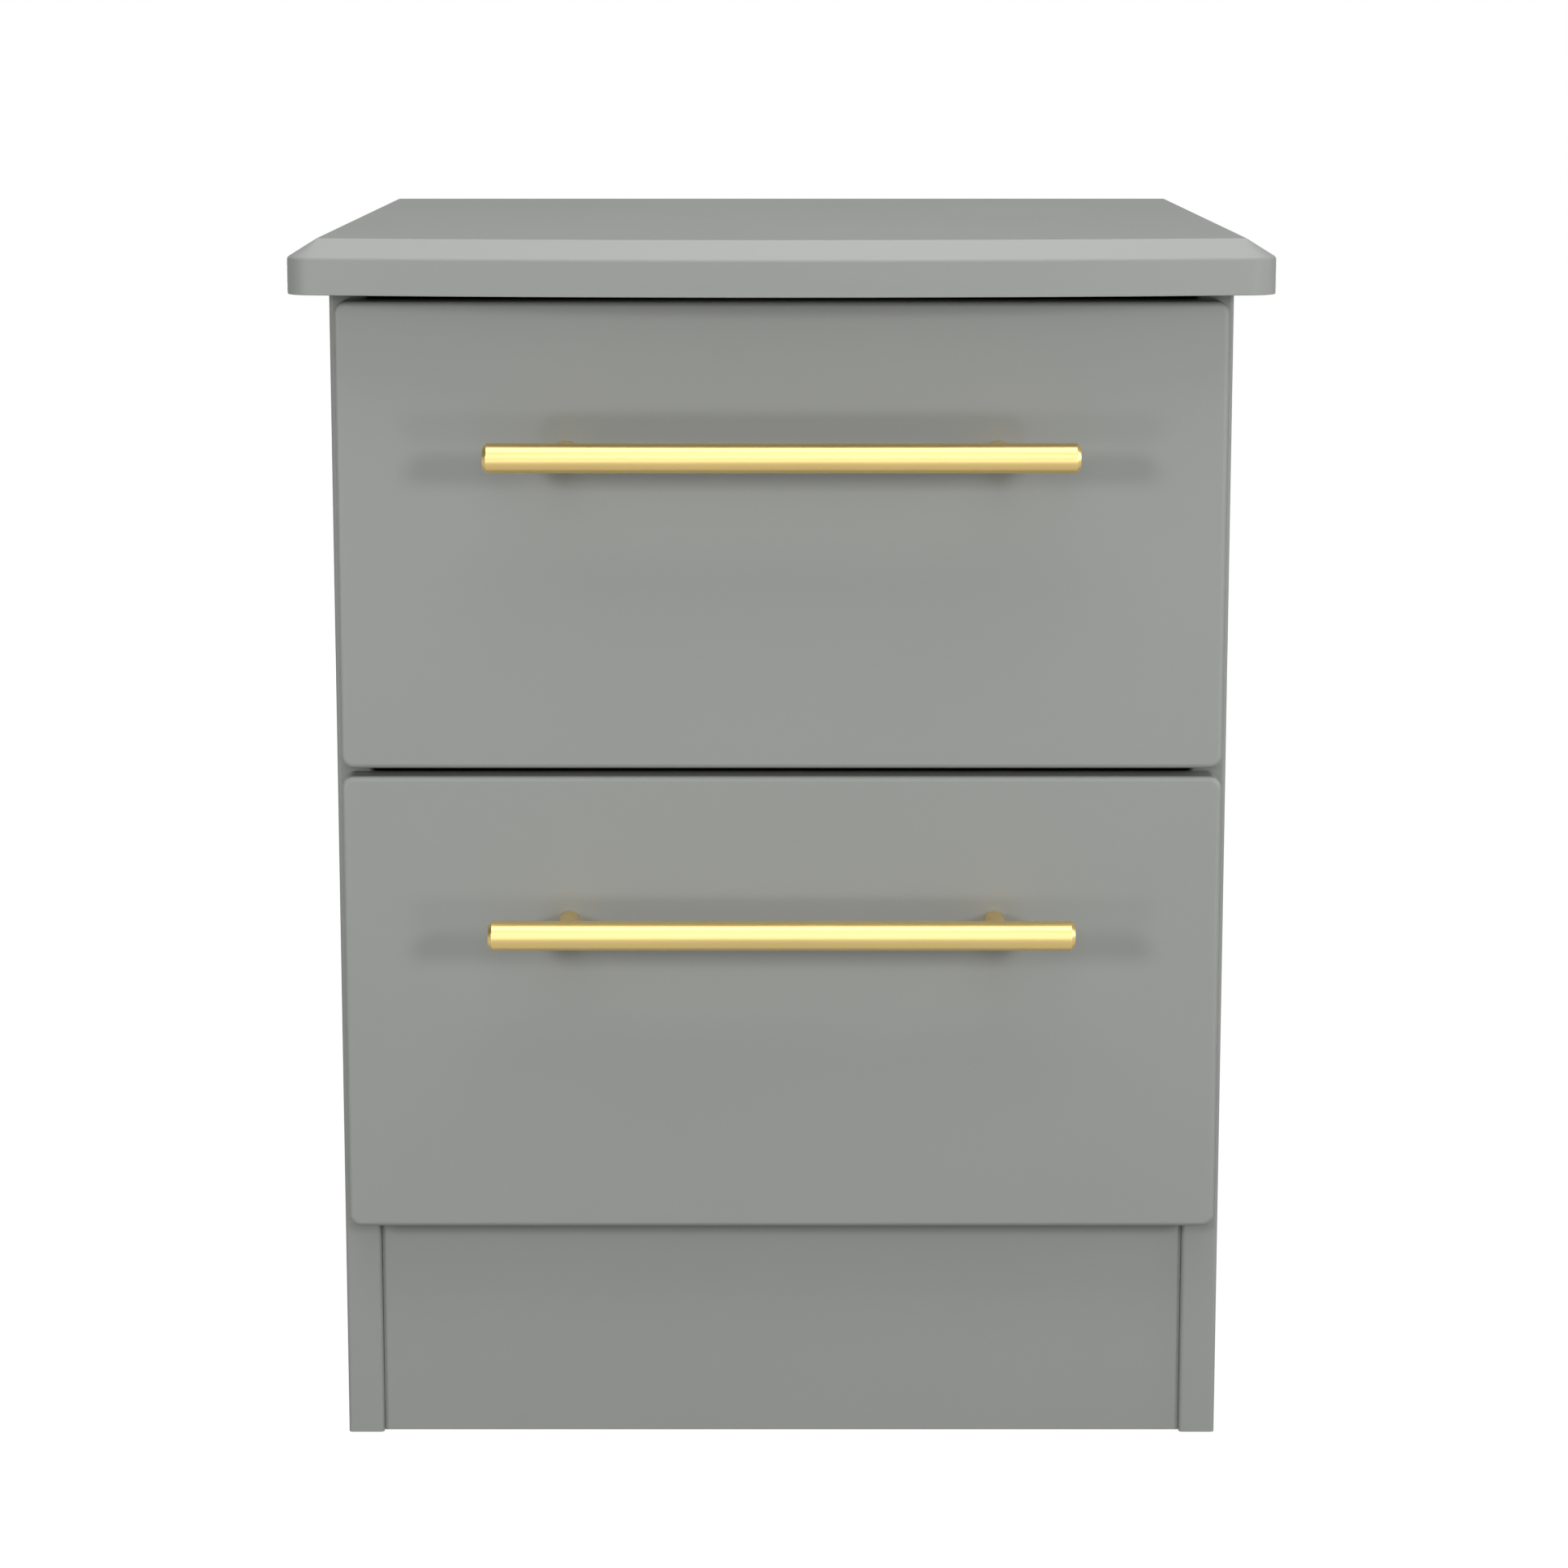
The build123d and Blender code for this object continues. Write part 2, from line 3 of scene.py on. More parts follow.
import bmesh
import bpy
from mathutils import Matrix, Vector


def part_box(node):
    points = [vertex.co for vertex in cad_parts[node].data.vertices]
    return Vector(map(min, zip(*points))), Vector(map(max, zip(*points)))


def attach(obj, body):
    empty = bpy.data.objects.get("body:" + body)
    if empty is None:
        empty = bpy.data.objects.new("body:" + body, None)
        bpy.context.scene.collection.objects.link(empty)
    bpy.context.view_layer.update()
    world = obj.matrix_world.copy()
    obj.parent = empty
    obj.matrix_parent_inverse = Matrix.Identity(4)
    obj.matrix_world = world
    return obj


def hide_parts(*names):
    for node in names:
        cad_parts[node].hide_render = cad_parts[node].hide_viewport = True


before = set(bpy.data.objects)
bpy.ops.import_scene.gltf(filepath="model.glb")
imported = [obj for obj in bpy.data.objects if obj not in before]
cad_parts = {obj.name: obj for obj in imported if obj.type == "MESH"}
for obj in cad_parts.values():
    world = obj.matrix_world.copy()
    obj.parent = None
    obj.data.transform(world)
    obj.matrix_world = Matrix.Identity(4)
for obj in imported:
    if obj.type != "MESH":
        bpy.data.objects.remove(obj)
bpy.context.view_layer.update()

bl_info = {
    "name": "Nightstand with drawers",
    "version": (1, 0, 0),
    "blender": (4, 5, 0),
    "location": "View3D > Sidebar > Nightstand",
    "description": "Builds a two-drawer nightstand round its packed frame, piece by piece",
    "category": "Object",
}

LEVELS = ("upper", "lower")
HANDS = {"left": -1, "right": 1}
MM = 0.001
NEAR = 1e-5  # places closer than this count as one
MERGE = 0.005 * MM  # corners closer than this are one corner
ALONG = 0.999  # share of an edge's length that has to lie on an axis
FACING = 0.5  # how far a face leans towards an axis to be counted on it
SQUARE_ON = 0.9  # the same, for faces that look straight along it
SQUARE_ANGLE = math.radians(60)  # an edge at least this sharp is a square one
FLAT_ANGLE = math.radians(0.5)  # faces within this angle are one flat face
BEVEL_RING_ANGLE = 0.6  # radians, past which a bar's edge is a ring of its end bevel
SHORTEST_SOFT_EDGE = 20 * MM
BOARD_ARRIS_STEPS = 2
BOW_STEPS = 64
CORNER_STEPS = 14
TOP_ARRIS_STEPS = 4
FRONT_CORNER_STEPS = 10
FRONT_ARRIS_STEPS = 6
EDGING_ARRIS_STEPS = 6
EDGING_BACK_ARRIS = 0.15 * MM
BAR_SIDES = 72
BAR_BEVEL_OVER_ARRIS = 10  # a bar's bevel over the softening of that bevel's own edges
POST_SIDES = 48
POST_ARRIS_STEPS = 3
FOIL_WEAR_REACH = 1.6 * MM
BOX_WEAR_REACH = 1.2 * MM


# --- Sizes and finishes that a user would change ---


def length(name, description, millimetres):
    return bpy.props.FloatProperty(
        name=name,
        description=description,
        default=millimetres * MM,
        min=0.0,
        precision=5,
        subtype="DISTANCE",
        unit="LENGTH",
    )


def colour(name, description, default):
    return bpy.props.FloatVectorProperty(
        name=name, description=description, default=default, size=3, min=0, max=1, subtype="COLOR"
    )


def share(name, description, default):
    return bpy.props.FloatProperty(
        name=name, description=description, default=default, min=0.0, max=1.0, subtype="FACTOR"
    )


class NightstandSizes(bpy.types.PropertyGroup):
    top_bow: length("Top bow", "Rise of the top's front edge over its width", 17.0)
    top_corner: length("Top corner", "Radius of the top's front corners in plan", 12.5)
    top_bevel_in: length("Top bevel width", "Width of the bevel round the top", 12.0)
    top_bevel_down: length("Top bevel depth", "Drop of the bevel round the top", 7.4)
    top_arris: length("Top arris", "Softening where the bevel meets the upright edge", 0.84)
    board_arris: length("Board arris", "Softening of a board's square edges", 0.4)
    edging_arris: length("Edging arris", "Rounding of the side panels' front edging", 1.8)
    front_corner: length("Front corner", "Radius of a drawer front's corners", 5.0)
    front_arris: length("Front arris", "Rounding round a drawer front's face", 2.2)
    bar_bevel: length("Bar bevel", "Bevel on the ends of a handle bar", 1.6)
    post_arris: length("Post arris", "Rounding where a handle's post meets the front", 0.35)
    steel_fold: length("Steel fold", "Rounding of the runners' folds", 0.35)


class NightstandFinishes(bpy.types.PropertyGroup):
    foil: colour("Foil", "Matt foil on the outer boards", (0.256, 0.265, 0.2525))
    foil_roughness: share("Foil roughness", "Roughness of the matt foil", 0.52)
    box_foil: colour("Box foil", "Foil on the drawer boxes", (0.50, 0.505, 0.49))
    backing: colour("Backing", "Faced fibreboard of back and drawer bottoms", (0.52, 0.525, 0.51))
    brass: colour("Brass", "Satin brass of the handles", (0.96, 0.72, 0.295))
    brass_roughness: share("Brass roughness", "Roughness of the satin brass", 0.34)
    steel_coat: colour("Runner coating", "Powder coating on the runners", (0.62, 0.62, 0.59))
    roller: colour("Roller", "Plastic of the runners' rollers", (0.74, 0.73, 0.67))
    zinc: colour("Zinc", "Plating on screws and cams", (0.56, 0.57, 0.60))
    beech: colour("Dowel wood", "Beech of the dowels", (0.55, 0.37, 0.21))
    floor: colour("Floor", "Plain pale floor", (1.0, 1.0, 1.0))


# --- Shader nodes from expressions ---


class Signal:
    """A shader socket that arithmetic works on: each expression adds its Math node."""

    def __init__(self, sheet, socket):
        self.sheet = sheet
        self.socket = socket

    def math(self, operation, *values):
        sockets = dict(enumerate(values))
        return self.sheet.add("ShaderNodeMath", {"operation": operation}, sockets)

    def __add__(self, other):
        return self.math("ADD", self, other)

    def __radd__(self, other):
        return self.math("ADD", other, self)

    def __sub__(self, other):
        return self.math("SUBTRACT", self, other)

    def __rsub__(self, other):
        return self.math("SUBTRACT", other, self)

    def __mul__(self, other):
        return self.math("MULTIPLY", self, other)

    def __rmul__(self, other):
        return self.math("MULTIPLY", other, self)


class Sheet:
    """One material's node tree, with a Principled shader to finish on."""

    def __init__(self, name):
        self.material = bpy.data.materials.new(name)
        self.material.use_nodes = True
        self.tree = self.material.node_tree
        self.tree.nodes.clear()

    def add(self, kind, settings, sockets, output=0):
        """Adds a node, sets it, fills its sockets with values or signals, returns an output."""
        node = self.tree.nodes.new(kind)
        for key, value in settings.items():
            setattr(node, key, value)
        for key, value in sockets.items():
            if isinstance(value, Signal):
                self.tree.links.new(value.socket, node.inputs[key])
            else:
                node.inputs[key].default_value = value
        return Signal(self, node.outputs[output]) if node.outputs else None

    def places(self, scale=(1, 1, 1), centre=(0, 0, 0)):
        """Object coordinates in metres, taken from a centre and then scaled."""
        raw = self.add("ShaderNodeTexCoord", {}, {}, "Object")
        moved = self.add(
            "ShaderNodeVectorMath", {"operation": "SUBTRACT"}, {0: raw, 1: tuple(centre)}
        )
        return self.add("ShaderNodeVectorMath", {"operation": "MULTIPLY"}, {0: moved, 1: scale})

    def axes(self, places):
        split = self.add("ShaderNodeSeparateXYZ", {}, {0: places})
        node = split.socket.node
        return [Signal(self, socket) for socket in node.outputs]

    def noise(self, places, scale, detail=2.0, roughness=0.5):
        return self.add(
            "ShaderNodeTexNoise",
            {"noise_dimensions": "3D"},
            {"Vector": places, "Scale": scale, "Detail": detail, "Roughness": roughness},
        )

    def ramp(self, value, low, high):
        """0 below a low value, 1 above a high one, smooth between."""
        return self.add(
            "ShaderNodeMapRange",
            {"interpolation_type": "SMOOTHSTEP"},
            {"Value": value, "From Min": low, "From Max": high},
        )

    def blend(self, factor, first, second):
        return self.add(
            "ShaderNodeMix", {"data_type": "RGBA"}, {0: factor, 6: first, 7: second}, 2
        )

    def bump(self, height, distance, strength=1.0):
        return self.add(
            "ShaderNodeBump", {}, {"Height": height, "Distance": distance, "Strength": strength}
        )

    def finish(self, base, roughness, normal=None, **fixed):
        sockets = {"Base Color": base, "Roughness": roughness}
        if normal:
            sockets["Normal"] = normal
        sockets.update({key.replace("_", " "): value for key, value in fixed.items()})
        shader = self.add("ShaderNodeBsdfPrincipled", {}, sockets)
        self.add("ShaderNodeOutputMaterial", {}, {"Surface": shader})
        return self.material


def tone(rgb, gain=1.0):
    return (rgb[0] * gain, rgb[1] * gain, rgb[2] * gain, 1.0)


def arris_mask(sheet, low, high, reach):
    """1 along the twelve edges of a board's box, falling to 0 at a reach from them."""
    centre = (low + high) / 2
    half = (high - low) / 2
    near = []
    for axis, limit in zip(sheet.axes(sheet.places(centre=centre)), half):
        away = axis.math("ABSOLUTE", axis)
        near.append(sheet.ramp(away, max(limit - reach, 0.0), limit))
    return near[0] * near[1] + near[1] * near[2] + near[2] * near[0]


def foil_finish(name, rgb, roughness, low, high):
    """Matt foil wrapped on board: faint mottling, fine print, a burnished arris."""
    sheet = Sheet(name)
    places = sheet.places()
    mottle = sheet.noise(places, scale=14.0, detail=3.0, roughness=0.55)
    grit = sheet.noise(places, scale=1500.0, detail=2.0, roughness=0.6)
    swell = sheet.noise(places, scale=260.0, detail=2.0, roughness=0.5)
    worn = arris_mask(sheet, low, high, FOIL_WEAR_REACH)
    base = sheet.blend(mottle, tone(rgb, 0.975), tone(rgb, 1.025))
    base = sheet.blend(grit * 0.35, base, tone(rgb, 1.07))
    base = sheet.blend(worn * 0.1, base, tone(rgb, 1.22))
    rough = roughness + (grit - 0.5) * 0.10 + (mottle - 0.5) * 0.06 - worn * 0.08
    normal = sheet.bump(grit * 0.6 + swell * 0.8, distance=0.05 * MM, strength=0.5)
    return sheet.finish(base, rough, normal, Specular_IOR_Level=0.42)


def box_foil_finish(name, rgb, low, high):
    """Pale foil with a pressed upright grain, as on wrapped drawer sides."""
    sheet = Sheet(name)
    grain = sheet.noise(sheet.places((1, 1, 22)), scale=60.0, detail=4.0, roughness=0.6)
    specks = sheet.noise(sheet.places((1, 1, 14)), scale=420.0, detail=2.0, roughness=0.5)
    pores = sheet.ramp(specks, 0.56, 0.68)
    worn = arris_mask(sheet, low, high, BOX_WEAR_REACH)
    base = sheet.blend(grain, tone(rgb, 0.93), tone(rgb, 1.06))
    base = sheet.blend(pores * 0.25, base, tone(rgb, 0.78))
    base = sheet.blend(worn * 0.35, base, tone(rgb, 1.25))
    normal = sheet.bump(grain * 0.5 - pores * 0.6, distance=0.08 * MM, strength=0.6)
    return sheet.finish(base, 0.5 + (grain - 0.5) * 0.16, normal, Specular_IOR_Level=0.4)


def fibreboard_finish(name, rgb):
    """Thin fibreboard with a painted face: short fibres under the paint."""
    sheet = Sheet(name)
    places = sheet.places()
    fibre = sheet.noise(sheet.places((1, 7, 1)), scale=300.0, detail=4.0, roughness=0.65)
    cloud = sheet.noise(places, scale=9.0, detail=2.0, roughness=0.5)
    base = sheet.blend(cloud, tone(rgb, 0.95), tone(rgb, 1.04))
    base = sheet.blend(sheet.ramp(fibre, 0.58, 0.72) * 0.35, base, tone(rgb, 0.86))
    normal = sheet.bump(fibre, distance=0.06 * MM, strength=0.5)
    return sheet.finish(base, 0.56 + (fibre - 0.5) * 0.2, normal, Specular_IOR_Level=0.35)


def chipboard_finish(name):
    """The raw edge of particle board: pale and dark chips of all sizes."""
    sheet = Sheet(name)
    places = sheet.places((1, 1, 0.55))
    chips = sheet.add(
        "ShaderNodeTexVoronoi", {"feature": "F1"}, {"Vector": places, "Scale": 520.0}, "Color"
    )
    tint = sheet.add("ShaderNodeSeparateColor", {}, {0: chips})
    flecks = sheet.ramp(tint, 0.15, 0.9)
    dust = sheet.noise(places, scale=1400.0, detail=3.0, roughness=0.6)
    base = sheet.blend(flecks, (0.23, 0.15, 0.085, 1), (0.52, 0.39, 0.25, 1))
    base = sheet.blend(dust * 0.5, base, (0.42, 0.31, 0.2, 1))
    normal = sheet.bump(flecks + dust, distance=0.25 * MM, strength=0.7)
    return sheet.finish(base, 0.85 + (dust - 0.5) * 0.1, normal, Specular_IOR_Level=0.2)


def brass_finish(name, rgb, roughness):
    """Satin brass brushed along the bar."""
    sheet = Sheet(name)
    brushed = sheet.noise(sheet.places((0.03, 1, 1)), scale=3200.0, detail=3.0, roughness=0.6)
    cloud = sheet.noise(sheet.places((0.3, 1, 1)), scale=55.0, detail=2.0, roughness=0.5)
    base = sheet.blend(cloud, tone(rgb, 0.965), tone(rgb, 1.03))
    rough = roughness + (brushed - 0.5) * 0.12 + (cloud - 0.5) * 0.05
    normal = sheet.bump(brushed, distance=0.012 * MM, strength=0.35)
    return sheet.finish(base, rough, normal, Metallic=1.0)


def coated_steel_finish(name, rgb):
    """Powder-coated sheet steel: orange peel and a few rubbed spots."""
    sheet = Sheet(name)
    places = sheet.places()
    peel = sheet.noise(places, scale=900.0, detail=2.0, roughness=0.5)
    patches = sheet.noise(places, scale=85.0, detail=4.0, roughness=0.7)
    rubbed = sheet.ramp(patches, 0.62, 0.74)
    base = sheet.blend(rubbed * 0.3, tone(rgb), tone(rgb, 0.8))
    base = sheet.blend(peel * 0.2, base, tone(rgb, 1.12))
    normal = sheet.bump(peel, distance=0.06 * MM, strength=0.5)
    return sheet.finish(base, 0.36 + rubbed * 0.18 + (peel - 0.5) * 0.08, normal)


def roller_finish(name, rgb):
    """Moulded plastic with faint rings and a run-in tread."""
    sheet = Sheet(name)
    rings = sheet.noise(sheet.places((6, 1, 1)), scale=700.0, detail=2.0, roughness=0.5)
    stain = sheet.noise(sheet.places(), scale=130.0, detail=3.0, roughness=0.6)
    base = sheet.blend(sheet.ramp(stain, 0.5, 0.75) * 0.4, tone(rgb), tone(rgb, 0.8))
    normal = sheet.bump(rings, distance=0.03 * MM, strength=0.5)
    return sheet.finish(base, 0.42 + (rings - 0.5) * 0.15, normal, Specular_IOR_Level=0.5)


def zinc_finish(name, rgb):
    """Bright zinc plating with a cloudy passivated surface."""
    sheet = Sheet(name)
    places = sheet.places()
    cloud = sheet.noise(places, scale=240.0, detail=4.0, roughness=0.65)
    scratch = sheet.noise(sheet.places((1, 1, 0.1)), scale=2600.0, detail=2.0, roughness=0.5)
    base = sheet.blend(cloud, tone(rgb, 0.86), tone(rgb, 1.1))
    rough = 0.3 + (cloud - 0.5) * 0.2 + (scratch - 0.5) * 0.1
    normal = sheet.bump(scratch, distance=0.02 * MM, strength=0.5)
    return sheet.finish(base, rough, normal, Metallic=1.0)


def beech_finish(name, rgb):
    """Fluted beech: straight grain with small dark rays."""
    sheet = Sheet(name)
    grain = sheet.noise(sheet.places((0.2, 1, 1)), scale=900.0, detail=4.0, roughness=0.6)
    flecks = sheet.noise(sheet.places(), scale=1600.0, detail=1.0, roughness=0.5)
    rays = sheet.ramp(flecks, 0.6, 0.7)
    base = sheet.blend(grain, tone(rgb, 0.85), tone(rgb, 1.12))
    base = sheet.blend(rays * 0.4, base, tone(rgb, 0.6))
    rough = 0.7 + (grain - 0.5) * 0.1
    return sheet.finish(base, rough, sheet.bump(grain, distance=0.05 * MM, strength=0.5))


# --- Modelling by hand ---


def deselect():
    bpy.ops.object.select_all(action="DESELECT")


def activate(piece):
    deselect()
    piece.select_set(True)
    bpy.context.view_layer.objects.active = piece


def keep_name(name):
    """Names the object just added and puts its place into its mesh."""
    piece = bpy.context.object
    piece.name = name
    piece.data.name = name
    bpy.ops.object.transform_apply(location=True, rotation=True, scale=True)
    return piece


def add_block(name, low, high):
    deselect()
    bpy.ops.mesh.primitive_cube_add(size=1.0, location=(low + high) / 2, scale=high - low)
    return keep_name(name)


def add_drum(name, start, end, radius, sides):
    """A cylinder between two points that lie along one axis."""
    deselect()
    run = end - start
    bpy.ops.mesh.primitive_cylinder_add(
        vertices=sides,
        radius=radius,
        depth=run.length,
        location=(start + end) / 2,
        rotation=run.to_track_quat("Z", "Y").to_euler(),
    )
    return keep_name(name)


def copy_node(name, node):
    """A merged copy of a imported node's mesh, ready to be worked on."""
    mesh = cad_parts[node].data.copy()
    mesh.name = name
    mesh.materials.clear()
    piece = bpy.data.objects.new(name, mesh)
    bpy.context.scene.collection.objects.link(piece)
    activate(piece)
    bpy.ops.object.mode_set(mode="EDIT")
    bpy.ops.mesh.select_all(action="SELECT")
    bpy.ops.mesh.remove_doubles(threshold=MERGE)
    bpy.ops.mesh.customdata_custom_splitnormals_clear()
    bpy.ops.mesh.dissolve_limited(angle_limit=FLAT_ANGLE)
    bpy.ops.object.mode_set(mode="OBJECT")
    return piece


def pick(piece, kind, test):
    """Selects the vertices, edges or faces of the piece in edit mode that pass a test."""
    bpy.ops.mesh.select_mode(type={"verts": "VERT", "edges": "EDGE", "faces": "FACE"}[kind])
    bpy.ops.mesh.select_all(action="DESELECT")
    shape = bmesh.from_edit_mesh(piece.data)
    for item in getattr(shape, kind):
        if test(item):
            item.select_set(True)
    shape.select_flush_mode()
    bmesh.update_edit_mesh(piece.data)


def along(edge, axis):
    run = edge.verts[1].co - edge.verts[0].co
    return abs(run[axis]) > ALONG * run.length


def all_at(item, axis, place):
    return all(abs(vert.co[axis] - place) < NEAR for vert in item.verts)


def soften(offset, segments, profile=0.5):
    bpy.ops.mesh.bevel(
        offset=offset, segments=segments, profile=profile, affect="EDGES", clamp_overlap=True
    )


def edit():
    bpy.ops.object.mode_set(mode="EDIT")


def done(piece, angle=35.0):
    """Leaves edit mode and shades the piece smooth across its soft edges."""
    bpy.ops.object.mode_set(mode="OBJECT")
    activate(piece)
    bpy.ops.object.shade_smooth_by_angle(angle=math.radians(angle))
    bpy.ops.object.modifier_add(type="WEIGHTED_NORMAL")
    piece.modifiers[-1].keep_sharp = True
    bpy.ops.object.modifier_apply(modifier=piece.modifiers[-1].name)
    return piece


def dress(piece, *materials):
    piece.data.materials.clear()
    for material in materials:
        piece.data.materials.append(material)


def coat(node, material):
    """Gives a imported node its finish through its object's material slots."""
    if not node.material_slots:
        raise ValueError(f"{node.name} has no material slot")
    for slot in node.material_slots:
        slot.material = material


def repeat(first, boxes, naming):
    """One piece for each named box: the first itself, then copies with their own meshes."""
    start = next(iter(boxes.values()))[0]
    pieces = {}
    for name, (low, high) in boxes.items():
        pieces[name] = place_copy(first, naming.format(name), low - start) if pieces else first
    return pieces


def place_copy(piece, name, shift):
    twin = piece.copy()
    twin.data = piece.data.copy()
    twin.name = name
    twin.data.name = name
    bpy.context.scene.collection.objects.link(twin)
    activate(twin)
    twin.location = shift
    bpy.ops.object.transform_apply(location=True, rotation=False, scale=False)
    return twin


def settle(piece, body, slot, *nodes):
    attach(piece, body)
    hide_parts(*nodes)


def soften_board(piece, offset):
    """Rounds the long square edges of a board and leaves its holes as they are."""

    def square_and_long(edge):
        if len(edge.link_faces) != 2 or edge.calc_length() < SHORTEST_SOFT_EDGE:
            return False
        return edge.calc_face_angle() > SQUARE_ANGLE

    edit()
    pick(piece, "edges", square_and_long)
    soften(offset, BOARD_ARRIS_STEPS)
    return done(piece)


# --- The pieces ---


class NIGHTSTAND_OT_top_panel(bpy.types.Operator):
    """Model the bow-fronted top with its wide bevel"""

    bl_idname = "nightstand.top_panel"
    bl_label = "Top Panel"

    def execute(self, context):
        sizes = context.scene.nightstand_sizes
        finishes = context.scene.nightstand_finishes
        low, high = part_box("top_panel")
        corner, bevel_in = sizes.top_corner, sizes.top_bevel_in
        half = (high.x - low.x) / 2
        bow_radius = (half**2 + sizes.top_bow**2) / (2 * sizes.top_bow)
        bow_centre_y = low.y + bow_radius
        corner_x = half - corner
        corner_y = bow_centre_y - math.sqrt((bow_radius - corner) ** 2 - corner_x**2)
        lean = math.asin(corner_x / (bow_radius - corner))

        panel = add_block("top_board", Vector((low.x, corner_y, low.z)), high)
        edit()
        pick(panel, "faces", lambda face: abs(face.normal.z) > FACING or face.normal.y < -FACING)
        bpy.ops.mesh.delete(type="FACE")
        pick(
            panel,
            "edges",
            lambda edge: all_at(edge, 0, low.x) and all_at(edge, 1, corner_y),
        )
        for turn, centre, steps in (
            (math.pi / 2 - lean, (-corner_x, corner_y, 0), CORNER_STEPS),
            (2 * lean, (0, bow_centre_y, 0), BOW_STEPS),
            (math.pi / 2 - lean, (corner_x, corner_y, 0), CORNER_STEPS),
        ):
            bpy.ops.mesh.spin(steps=steps, angle=turn, center=centre, axis=(0, 0, -1))
        bpy.ops.mesh.select_all(action="SELECT")
        bpy.ops.mesh.remove_doubles(threshold=NEAR)
        for level in (low.z, high.z):
            pick(panel, "edges", lambda edge: edge.is_boundary and all_at(edge, 2, level))
            bpy.ops.mesh.edge_face_add()
        bpy.ops.mesh.select_all(action="SELECT")
        bpy.ops.mesh.normals_make_consistent(inside=False)

        pick(panel, "faces", lambda face: face.normal.z > FACING)
        bpy.ops.mesh.inset(thickness=bevel_in, depth=0, use_even_offset=True)
        flat = {vert.index for vert in bmesh.from_edit_mesh(panel.data).verts if vert.select}
        pick(
            panel,
            "verts",
            lambda vert: vert.co.z > high.z - NEAR and vert.index not in flat,
        )
        bpy.ops.transform.translate(value=(0, 0, -sizes.top_bevel_down))
        pick(
            panel,
            "verts",
            lambda vert: vert.co.z > high.z - NEAR and vert.co.y > high.y - bevel_in - NEAR,
        )
        bpy.ops.transform.translate(value=(0, bevel_in, 0))

        arris_z = high.z - sizes.top_bevel_down
        pick(
            panel,
            "edges",
            lambda edge: all_at(edge, 2, arris_z) and not all_at(edge, 1, high.y),
        )
        soften(sizes.top_arris, TOP_ARRIS_STEPS)
        pick(panel, "edges", lambda edge: all_at(edge, 2, low.z))
        soften(sizes.board_arris, BOARD_ARRIS_STEPS)
        done(panel, angle=25.0)
        dress(panel, foil_finish("top_foil", finishes.foil, finishes.foil_roughness, low, high))
        settle(panel, "cabinet", "grey_board", "top_panel")
        return {"FINISHED"}


class NIGHTSTAND_OT_side_panels(bpy.types.Operator):
    """Model the side panels and the rounded edging on their front edges"""

    bl_idname = "nightstand.side_panels"
    bl_label = "Side Panels"

    def execute(self, context):
        sizes = context.scene.nightstand_sizes
        finishes = context.scene.nightstand_finishes
        raw = chipboard_finish("raw_chipboard")
        for hand in HANDS:
            node = f"{hand}_side_panel"
            low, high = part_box(node)
            panel = copy_node(f"{hand}_side_board", node)
            soften_board(panel, sizes.board_arris)
            foil = foil_finish(
                f"{hand}_side_foil", finishes.foil, finishes.foil_roughness, low, high
            )
            dress(panel, foil, raw)
            for face in panel.data.polygons:
                unseen_end = face.normal.y > SQUARE_ON or face.normal.z < -SQUARE_ON
                face.material_index = int(unseen_end and not in_groove(face, low, high))
            settle(panel, "cabinet", "grey_board", node)
        self.edging(sizes, finishes)
        return {"FINISHED"}

    def edging(self, sizes, finishes):
        boxes = {hand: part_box(f"{hand}_front_edging") for hand in HANDS}
        low, high = boxes["left"]
        strip = add_block("left_front_lipping", low, high)
        edit()
        pick(strip, "edges", lambda edge: along(edge, 2) and all_at(edge, 1, low.y))
        soften(sizes.edging_arris, EDGING_ARRIS_STEPS)
        pick(strip, "edges", lambda edge: all_at(edge, 1, high.y) and along(edge, 2))
        soften(EDGING_BACK_ARRIS, BOARD_ARRIS_STEPS)
        done(strip)
        for hand, piece in repeat(strip, boxes, "{}_front_lipping").items():
            name = f"{hand}_lipping_plastic"
            dress(piece, foil_finish(name, finishes.foil, finishes.foil_roughness, *boxes[hand]))
            settle(piece, "cabinet", "grey_edging", f"{hand}_front_edging")


def in_groove(face, low, high):
    """Whether a face of a side panel lies inside it, as the groove's walls do."""
    inside_y = face.center.y < high.y - MM
    inside_z = face.center.z > low.z + MM
    return inside_y and inside_z


class NIGHTSTAND_OT_inner_boards(bpy.types.Operator):
    """Model the plinth, bottom panel, rear rail and back panel"""

    bl_idname = "nightstand.inner_boards"
    bl_label = "Inner Boards"

    def execute(self, context):
        sizes = context.scene.nightstand_sizes
        finishes = context.scene.nightstand_finishes
        for node, name in (
            ("plinth", "plinth_board"),
            ("bottom_panel", "bottom_board"),
            ("top_rear_rail", "rear_rail_board"),
        ):
            piece = copy_node(name, node)
            low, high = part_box(node)
            soften_board(piece, sizes.board_arris)
            foil = foil_finish(f"{name}_foil", finishes.foil, finishes.foil_roughness, low, high)
            dress(piece, foil)
            settle(piece, "cabinet", "grey_board", node)
        back = copy_node("back_board", "back_panel")
        soften_board(back, sizes.board_arris / 2)
        dress(back, fibreboard_finish("back_fibreboard", finishes.backing))
        settle(back, "cabinet", "backing_board", "back_panel")
        return {"FINISHED"}


